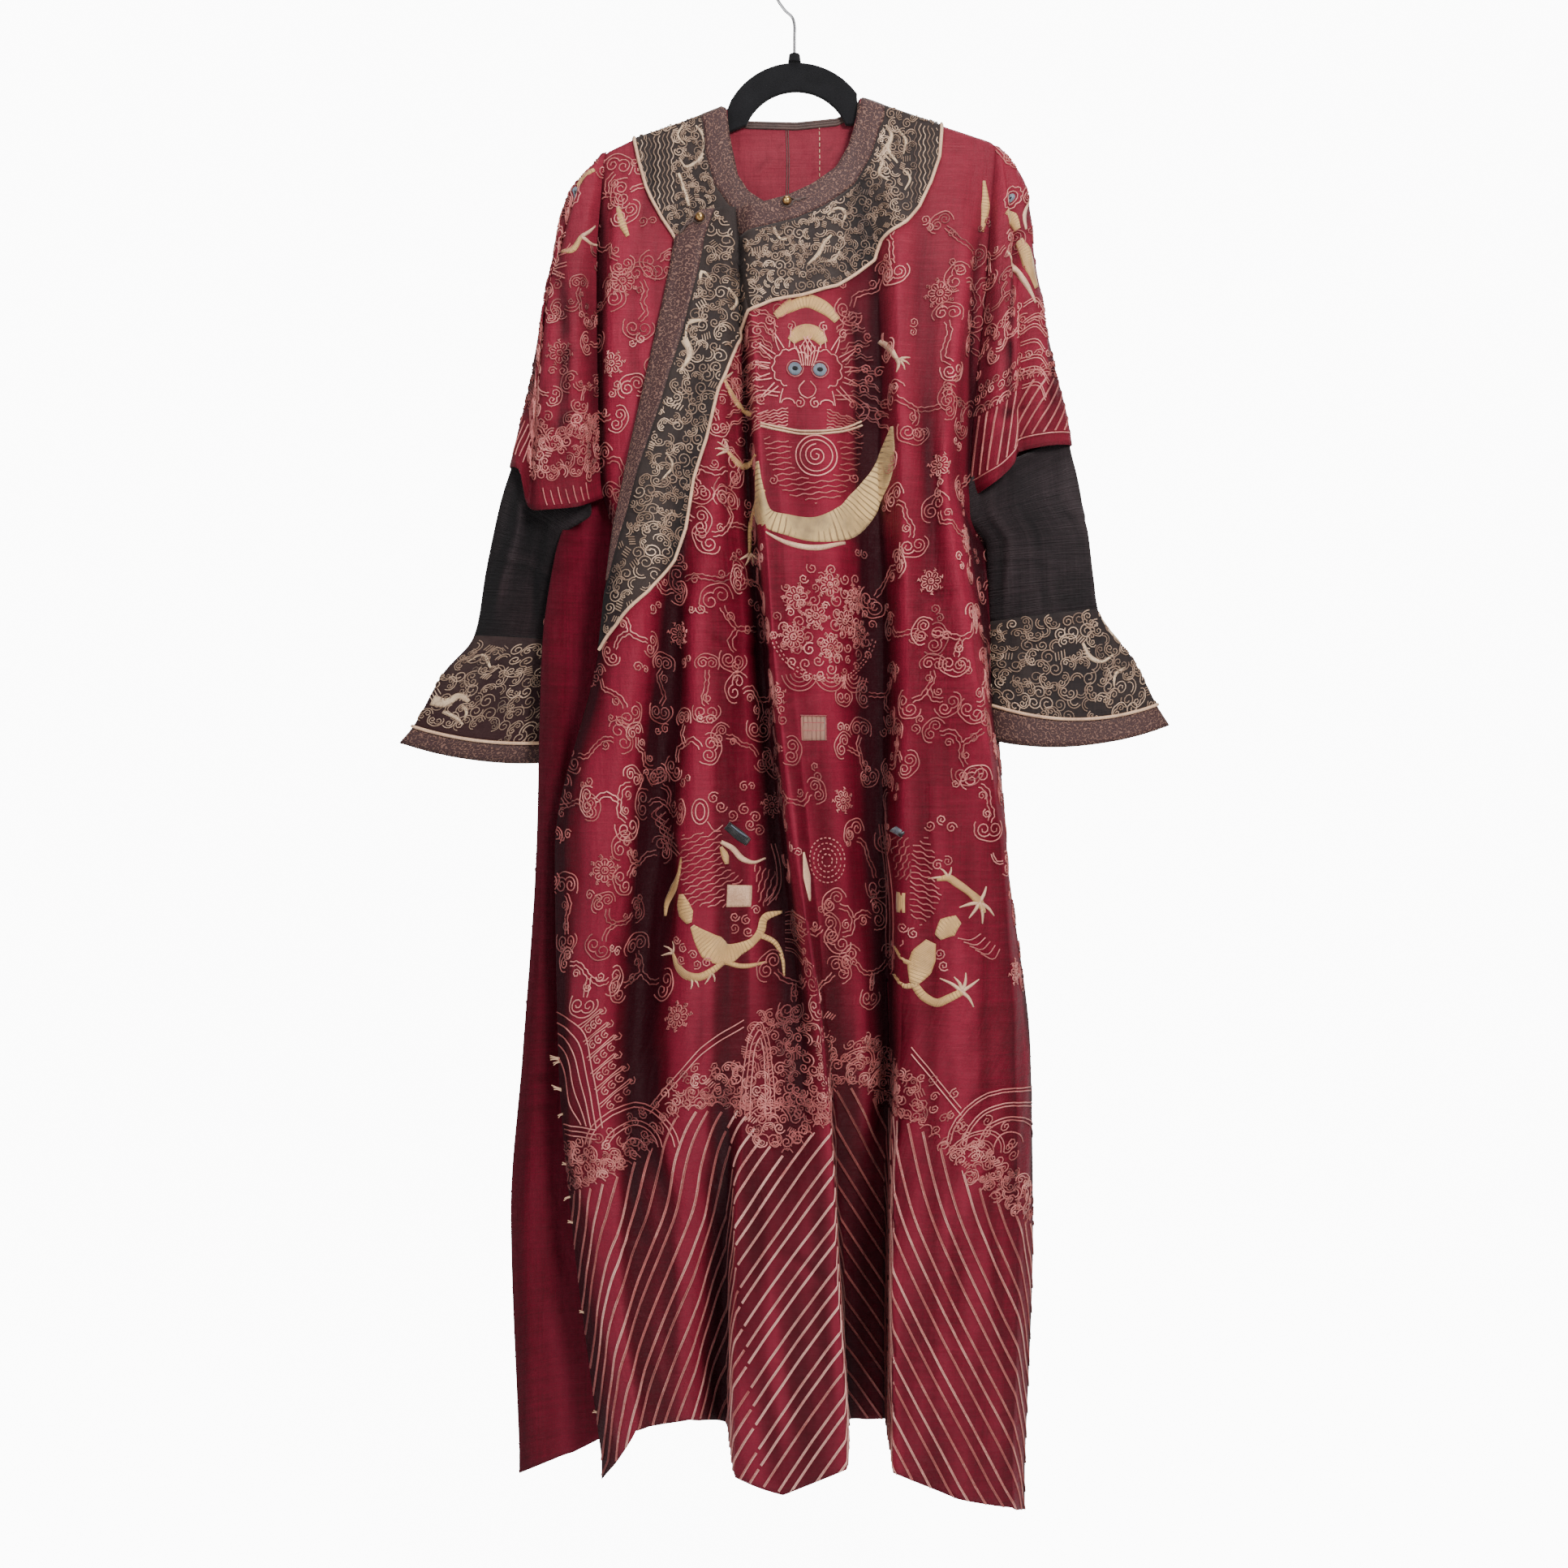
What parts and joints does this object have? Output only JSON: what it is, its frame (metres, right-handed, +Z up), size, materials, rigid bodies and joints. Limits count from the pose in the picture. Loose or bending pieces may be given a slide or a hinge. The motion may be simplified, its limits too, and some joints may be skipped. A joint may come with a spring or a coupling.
{
  "type": "chinese dragon robe on a hanger",
  "caption": "Full-length side-fastening silk robe with embroidered dragons, clouds and striped hem, flared cuffs and a dark collar, draped flat on a slim flocked hanger.",
  "frame": {"origin": "inside of the hanger hook's crown, where a wardrobe rail carries it", "axes": "+Z up, +X towards the wearer's left, -Y towards the front of the robe"},
  "size_m": [0.816, 0.1742, 1.6102],
  "materials": {
    "red_silk": "worn crimson silk with couched gold thread",
    "dark_cloth": "finely ribbed black silk",
    "collar_cloth": "black silk densely embroidered in gold",
    "brown_binding": "plain brown binding",
    "cream_piping": "twisted cream piping",
    "black_flock": "black flocking on a moulded core",
    "steel": "plated wire",
    "gilt": "worn gilt"
  },
  "bodies": {
    "root": {"back": "red_silk", "button_lapel": "gilt", "button_throat": "gilt", "collar_back": "collar_cloth", "collar_front": "collar_cloth", "collar_piping_back": "cream_piping", "collar_piping_front": "cream_piping", "collar_piping_under": "cream_piping", "collar_under": "collar_cloth", "cuff_binding_left": "brown_binding", "cuff_binding_right": "brown_binding", "cuff_left": "collar_cloth", "cuff_piping_left": "cream_piping", "cuff_piping_right": "cream_piping", "cuff_right": "collar_cloth", "hanger": "black_flock", "hanger_hook": "steel", "hanger_knob": "black_flock", "neck_band_back": "brown_binding", "neck_band_front": "brown_binding", "neck_band_under": "brown_binding", "outer_front": "red_silk", "overlap_band": "collar_cloth", "overlap_binding": "brown_binding", "overlap_piping": "cream_piping", "sleeve_extension_left": "dark_cloth", "sleeve_extension_right": "dark_cloth", "sleeve_left": "red_silk", "sleeve_right": "red_silk", "under_front": "red_silk"}
  },
  "joints": []
}
